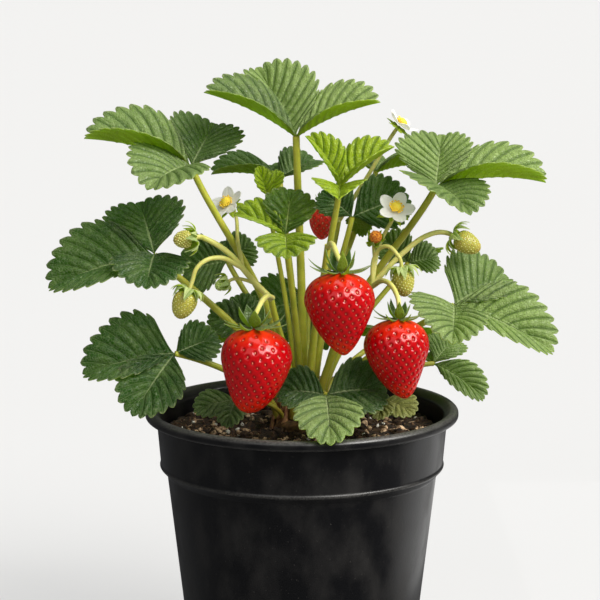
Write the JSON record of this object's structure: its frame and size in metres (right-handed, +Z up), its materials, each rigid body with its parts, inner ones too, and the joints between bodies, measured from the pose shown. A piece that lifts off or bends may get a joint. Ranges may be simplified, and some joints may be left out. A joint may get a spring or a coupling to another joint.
{
  "type": "potted strawberry plant",
  "caption": "Fruiting strawberry plant with toothed three-part leaves, hanging red berries, unripe fruits and white flowers, in a round black plastic nursery pot.",
  "frame": {"origin": "centre of the pot's flat foot, where it rests", "axes": "+Z up along the pot's axis, -Y towards the front, the side that the ripe berries hang on, +X to the right seen from the front"},
  "size_m": [0.2584, 0.1881, 0.3283],
  "materials": {
    "pot": "moulded black polypropylene, satin, dusty, with fine scuffs",
    "soil": "dark peat mix with bark chips and white perlite",
    "crown": "brown woody crown",
    "leaf": "deep green toothed leaf, satin, with sunk veins and a paler underside",
    "young_leaf": "bright yellow-green young leaf, pleated",
    "stalk": "pale yellow-green stalk with fine hairs and green leafy caps",
    "ripe_berry": "glossy red flesh with yellow seeds in pits",
    "unripe_berry": "firm yellow-green flesh closely set with seeds",
    "petal": "thin white petal",
    "stamen": "yellow dusty stamens"
  },
  "bodies": {
    "root": {"pot": "pot", "soil": "soil", "crown": "crown", "leaf_top": "leaf", "leaf_top_left": "leaf", "leaf_left": "leaf", "leaf_low_left": "leaf", "leaf_top_right": "leaf", "leaf_right": "leaf", "leaf_low_right": "leaf", "leaf_front": "leaf", "leaf_back_left": "leaf", "leaf_back_right": "leaf", "leaf_mid_right": "leaf", "leaf_behind_right": "leaf", "leaf_mid_left": "leaf", "leaf_inner_left": "leaf", "leaf_soil_left": "leaf", "leaf_soil_right": "leaf", "leaf_rear_left": "leaf", "leaf_rear_right": "leaf", "leaf_rear": "leaf", "leaf_young_left": "young_leaf", "leaf_young_right": "young_leaf", "leaf_bud": "young_leaf", "truss_left": "stalk", "truss_centre": "stalk", "truss_right": "stalk", "truss_back": "stalk", "berry_left": "ripe_berry", "berry_centre": "ripe_berry", "berry_right": "ripe_berry", "berry_back": "ripe_berry", "green_low_left": "unripe_berry", "green_high_left": "unripe_berry", "green_mid_right": "unripe_berry", "green_high_right": "unripe_berry", "flower_right": "petal", "flower_left": "petal", "flower_top": "petal", "flower_right_centre": "stamen", "flower_left_centre": "stamen", "flower_top_centre": "stamen", "old_flower_centre": "stamen"}
  },
  "joints": []
}
